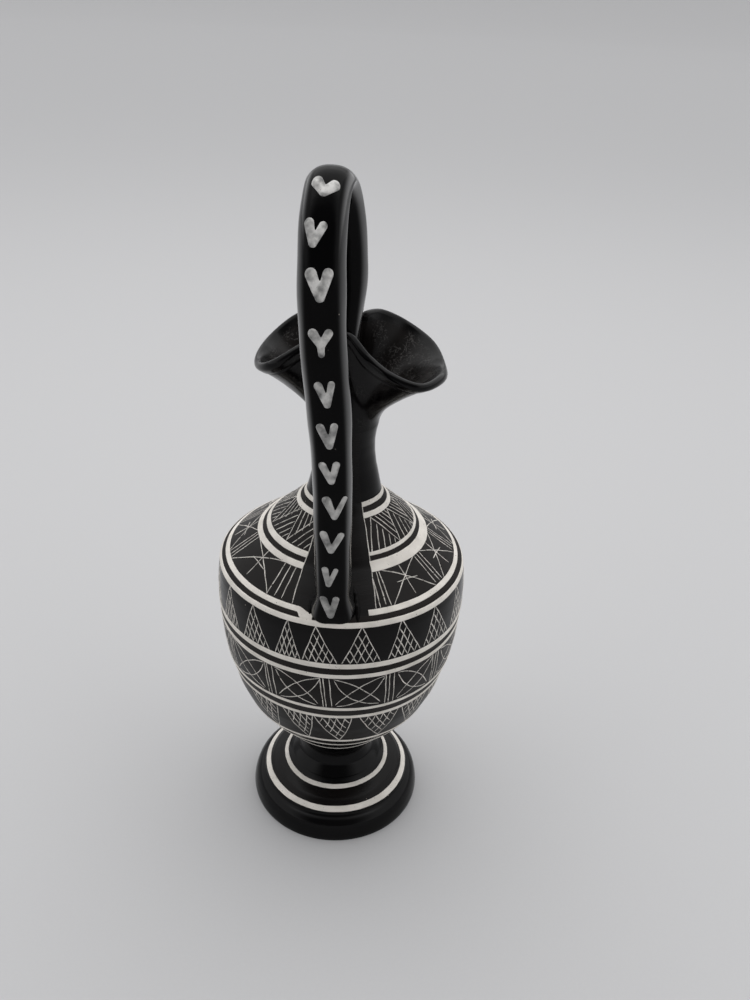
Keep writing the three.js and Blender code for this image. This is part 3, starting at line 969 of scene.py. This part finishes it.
def crosshatched(left, right, apex, bow=0.0):
    """A triangle with lines parallel to both its sides. Points are [angle, arc]."""
    left, right, apex = map(np.asarray, (left, right, apex))
    lines = [straight(left, apex, -bow), straight(right, apex, bow)]
    for share in HATCH_SHARES:
        start = left + (right - left) * (share + jitter(0.02))
        lines.append(straight(start, start + (apex - left) * (1 - share) * 0.98, -bow * 0.6))
        lines.append(straight(start, start + (apex - right) * share * 0.98, bow * 0.6))
    return lines


def upright_triangles():
    """Crosshatched triangles that stand on the top belly band."""
    low, high = zone("belly_band_4", "shoulder_band_1")
    near = [(-147, 5, 9), (-129, 5, 10), (-110.5, 5.5, 6), (-98, 5.5, 9.5)]
    near += [(-78.5, 8, 8.5), (-60.5, 6, 10), (-42, 6.5, 10), (-23, 6, 9)]
    far = [(-23 + 18.15 * k, 6.5 + jitter(1), 8.5 + jitter(1)) for k in range(1, 13)]
    lines = []
    for apex, left, right in near + far:
        tip = (apex, high + jitter(0.3))
        lines += crosshatched((apex - left, low), (apex + right, low), tip)
    return scratched("upright_triangles", lines)


def hanging_triangles():
    """Crosshatched triangles that hang from the lowest belly band."""
    low, high = zone("bowl_line_top", "belly_band_1")
    near = [(-138, -119.5, -124.5), (-116, -100.2, -104.2), (-99.4, -80.6, -86)]
    near += [(-76.7, -56, -63.2), (-54, -36.5, -42.5)]
    far = [(-33 + 20.2 * k, -15.5 + 20.2 * k, -21.5 + 20.2 * k + jitter(1)) for k in range(12)]
    lines = []
    for left, right, apex in near + far:
        tip = (apex, low + 0.5 + jitter(0.5))
        lines += crosshatched((left, high), (right, high), tip, bow=0.9)
    return scratched("hanging_triangles", lines)


def looped_panels():
    """Crossing leaf curves between groups of three upright lines."""
    low, high = zone("belly_band_2", "belly_band_3")
    groups = [-120, -93, -64] + [-37.5 + 27.75 * k for k in range(10)]
    at = lambda left, width, u, v: (left + width * u, low + (high - low) * v)
    lines = []
    for i, group in enumerate(groups):
        for offset in (-2.1, -0.5 + jitter(0.3), 1.9):
            lean = 0.75 + jitter(0.3)
            lines.append(straight((group + offset - lean, high), (group + offset + lean, low)))
        after = groups[i + 1] if i + 1 < len(groups) else groups[0] + 360
        left, width = group + 3.0, after - group - 5.8
        slip = lambda: jitter(0.035)
        for mirrored in (False, True):
            turn = (lambda u: 1 - u) if mirrored else (lambda u: u)
            outer = [(0, 0.97), (0.5 + slip(), 0.88 + slip()), (0.95, 0.10)]
            inner = [(0.02, 0.92), (0.28 + slip(), 0.16 + slip()), (0.92, 0.05)]
            for curve in (outer, inner):
                lines.append(bent(*(at(left, width, turn(u), v) for u, v in curve)))
    return scratched("looped_panels", lines)


def star_panels():
    """Eight-rayed stars between groups of radial lines on the shoulder."""
    low, high = zone("shoulder_band_2", "shoulder_band_3")
    high += 0.2
    groups = [-66, -31, 1, 33.5, 66, 98, 130.5, 163, 195]
    lines = []
    for group in groups:
        for offset in (-2.8, 0.2, 2.6):
            lean = jitter(0.8)
            short = rng.uniform(0, 1.2)
            lines.append(chord((group + offset + lean, high), (group + offset, low + short)))
    for offset in (-6, -1.8, 2.2):
        lines.append(chord((240.3 + offset, high), (240.7 + offset, low + rng.uniform(0, 0.8))))
    edges = groups + [239]
    for left, right in zip(edges, edges[1:]):
        start, end = left + 4, right - 4
        middle, level = (start + end) / 2, (low + high) / 2 + 0.5
        lines.append(chord((start, high), (end, low + 0.2)))
        lines.append(chord((end, high), (start, low)))
        lines.append(chord((middle - 0.3, high - 0.1), (middle, low + 1.5)))
        lines.append(chord((middle - 7, level + 0.4), (middle + 7, level - 0.4)))
    return scratched("star_panels", [p for line in lines for p in outside_panel(line)])


def zigzag():
    """A zigzag at the neck's foot whose triangles are hatched along their left sides."""
    low, high = zone("shoulder_band_4", "neck_band_1")
    step = 28.85
    valleys = [-36 + step * k for k in range(-1, 11)]
    peaks = [valley + 11 + k for k, valley in enumerate(valleys)]
    lines = []
    for k in range(len(valleys) - 1):
        valley, after = (np.array((valleys[i], low)) for i in (k, k + 1))
        peak, following = (np.array((peaks[i], high)) for i in (k, k + 1))
        lines += [chord(valley, peak), chord(peak, after)]
        for share in (0.22, 0.42, 0.62, 0.8):
            start = valley + (after - valley) * share
            lines.append(chord(start, start + (peak - valley) * (1 - share) * 0.97))
            start = peak + (following - peak) * share
            lines.append(chord(start, start + (after - peak) * (1 - share) * 0.97))
    return scratched("zigzag", [p for line in lines for p in outside_panel(line)])


def panel_borders():
    """The two thin lines that bound the plain panel."""
    heights, left, right = np.array(PANEL_BORDERS).T
    low, high = band_arcs("shoulder_band_2")[1], arc_at(heights[-1] - 0.6)
    levels = np.linspace(low, high, 80)
    sides = [np.interp(levels, arc_at(heights), side) for side in (left, right)]
    paths = [np.stack([side, levels], axis=1) for side in sides]
    return scratched("panel_borders", paths, BORDER_WIDTH)


# --- Hearts -------------------------------------------------------------------------------


def stroke_mesh(start, end, first_radius, last_radius):
    """One dab of slip as a fat round-ended stroke in flat [across, along, up] millimetres."""
    start, end = np.array(start), np.array(end)
    along = unit(end - start)
    side = np.array([-along[1], along[0]])
    turn = np.arange(16) * 2 * math.pi / 16
    tips = np.linspace(0, math.pi / 2, 7)
    rows = []
    stations = [(start, -math.cos(tip), first_radius, math.sin(tip)) for tip in tips]
    stations += [(end, math.cos(tip), last_radius, math.sin(tip)) for tip in tips[::-1]]
    for centre, back, radius, thick in stations:
        flat = centre + along * back * radius + side * (radius * thick * np.cos(turn))[:, None]
        rows.append(np.column_stack([flat, thick * np.sin(turn)]))
    return np.vstack(rows), grid_faces(len(rows), len(turn), wrap_columns=True)


def flat_heart(width, height, left_radius, right_radius, joined):
    """The two strokes of a heart run together into one skin, in flat millimetres."""
    radius = (left_radius + right_radius) / 2
    foot_level = -height / 2 + 0.8 * radius
    meets = foot_level + joined * height + 0.1
    left_top = (-width / 2 + left_radius, height / 2 - left_radius)
    right_top = (width / 2 - right_radius, height / 2 - right_radius - 0.2)
    strokes = [
        stroke_mesh(left_top, (-0.1, meets), left_radius, 0.8 * radius),
        stroke_mesh(right_top, (0.1, meets), right_radius, 0.8 * radius),
        stroke_mesh((0, meets), (0, foot_level), 0.85 * radius, 0.7 * radius),
    ]
    vertices, faces = merged(strokes)
    mesh = bpy.data.meshes.new("flat_heart")
    mesh.from_pydata(vertices.tolist(), [], faces)
    carrier = bpy.data.objects.new("flat_heart", mesh)
    bpy.context.scene.collection.objects.link(carrier)
    merge = carrier.modifiers.new("merge", "REMESH")
    merge.mode = "VOXEL"
    merge.voxel_size = 0.17
    soften = carrier.modifiers.new("soften", "SMOOTH")
    soften.iterations = 3
    skin = bpy.data.meshes.new_from_object(
        carrier.evaluated_get(bpy.context.evaluated_depsgraph_get())
    )
    points = np.array([v.co for v in skin.vertices])
    polygons = [list(p.vertices) for p in skin.polygons]
    bpy.data.objects.remove(carrier)
    bpy.data.meshes.remove(mesh)
    bpy.data.meshes.remove(skin)
    return points, polygons


def heart(index, share, sidestep, width, height, turn, *strokes):
    """A flat heart turned and laid on the strap's outer face."""
    points, polygons = flat_heart(width, height, *strokes)
    c, s = math.cos(math.radians(turn)), math.sin(math.radians(turn))
    across = points[:, 0] * c - points[:, 1] * s + sidestep
    along = points[:, 0] * s + points[:, 1] * c
    edge = np.clip(points[:, 2], -1, 1)
    lift = np.where(edge > 0, edge * HEART_RISE, edge * 0.35) - 0.05
    at = np.clip(share + along / STRAP_LENGTHS[-1], 0, 1)
    name = f"heart_{index:02d}"
    piece = new_object("slip_" + name, strap_point(at, across, lift), polygons, HEART_SLIP)
    return place(piece, "white_slip", name)


def hearts():
    for index, values in enumerate(HEARTS, start=1):
        heart(index, *values)


# --- Stage, light and camera --------------------------------------------------------------


FLOOR_FLAT = 6000  # radius of its flat part
FLOOR_SLOPE = 6000  # how far its rising part reaches past that
FLOOR_RISE = 2600
FLOOR_SIDES = 96


def stage():
    """A wide pale round sheet that rises gently far from the jug."""
    sweep = np.linspace(0, 1, 12)
    profile = [(20, 0), *((FLOOR_FLAT + FLOOR_SLOPE * t, FLOOR_RISE * t * t) for t in sweep)]
    turn = np.arange(FLOOR_SIDES) * 2 * math.pi / FLOOR_SIDES
    circle = np.stack([np.cos(turn), np.sin(turn), np.ones(FLOOR_SIDES)], axis=-1)
    vertices = np.vstack([circle * (radius, radius, height) for radius, height in profile])
    faces = grid_faces(len(profile), FLOOR_SIDES, wrap_columns=True)
    faces.append(list(range(FLOOR_SIDES))[::-1])
    mesh = bpy.data.meshes.new("floor")
    mesh.from_pydata((vertices * MM).tolist(), [], faces)
    mesh.shade_smooth()
    material, add, link, shader = shader_nodes("paper")
    where = add("TexCoord").outputs["Object"]
    fibres = noise_node(add, link, where, 900, 4)
    pale = mix_colours(add, link, fibres, (0.535, 0.535, 0.54), (0.555, 0.555, 0.56))
    link(pale, shader.inputs["Base Color"])
    shader.inputs["Roughness"].default_value = 0.9
    shader.inputs["Specular IOR Level"].default_value = 0.1
    mesh.materials.append(material)
    floor = bpy.data.objects.new("floor", mesh)
    bpy.context.scene.collection.objects.link(floor)


TENT_GLOW = 1.12
OPENING_GLOW = 0.15
OPENING_SIDE = (0.0, -0.8, 0.6)
OPENING_EDGE = (0.68, 0.9)  # cosines off the opening's middle between which the glow fades
TOP_BOX_PLACE = (0, 300, 950)
TOP_BOX_TARGET = (0, 200, 0)
TOP_BOX_SIZE = (1300, 1000)
TOP_BOX_POWER = 3.4


def studio_world():
    """The even glow of a light tent, dark in the opening where the camera stands."""
    world = bpy.data.worlds.new("studio")
    bpy.context.scene.world = world
    world.use_nodes = True
    tree = world.node_tree
    add = lambda kind: tree.nodes.new("ShaderNode" + kind)
    aim = add("VectorMath")
    aim.operation = "DOT_PRODUCT"
    aim.inputs[1].default_value = OPENING_SIDE
    tree.links.new(add("TexCoord").outputs["Generated"], aim.inputs[0])
    facing = aim.outputs["Value"]
    glow = range_node(add, tree.links.new, facing, *OPENING_EDGE, TENT_GLOW, OPENING_GLOW)
    background = tree.nodes["Background"]
    background.inputs["Color"].default_value = (0.99, 0.99, 1.0, 1)
    tree.links.new(glow, background.inputs["Strength"])


def lights():
    """A soft box high behind the jug, over the tent's even light."""
    light = bpy.data.lights.new("top_box", "AREA")
    light.shape = "RECTANGLE"
    light.size, light.size_y = (value * MM for value in TOP_BOX_SIZE)
    light.energy = TOP_BOX_POWER
    lamp = bpy.data.objects.new("top_box", light)
    lamp.location = Vector(TOP_BOX_PLACE) * MM
    direction = Vector(TOP_BOX_TARGET) - Vector(TOP_BOX_PLACE)
    lamp.rotation_euler = direction.to_track_quat("-Z", "Y").to_euler()
    bpy.context.scene.collection.objects.link(lamp)
    studio_world()


CAMERA_PLACE = (10.755, -271.109, 291.023)
CAMERA_PITCH = math.radians(29.96)
CAMERA_ROLL = math.radians(2.91)


def camera():
    """The photograph's view: 30 degrees down on the handle's side, with a slight roll."""
    data = bpy.data.cameras.new("camera")
    data.lens = 32.43
    data.sensor_width = 36
    data.clip_start = 0.01
    view = bpy.data.objects.new("camera", data)
    level = Matrix.Rotation(math.pi / 2 - CAMERA_PITCH, 3, "X")
    view.rotation_euler = (level @ Matrix.Rotation(CAMERA_ROLL, 3, "Z")).to_euler()
    view.location = Vector(CAMERA_PLACE) * MM
    bpy.context.scene.collection.objects.link(view)
    bpy.context.scene.camera = view


# --- Assembly -----------------------------------------------------------------------------

for make in (foot, stem, bowl, shoulder, neck, mouth, handle, root_luting, bands):
    make()
for make in (upright_triangles, hanging_triangles, looped_panels, star_panels, zigzag, panel_borders):
    make()
for make in (hearts, stage, lights, camera):
    make()
bpy.context.scene.view_settings.view_transform = "Standard"
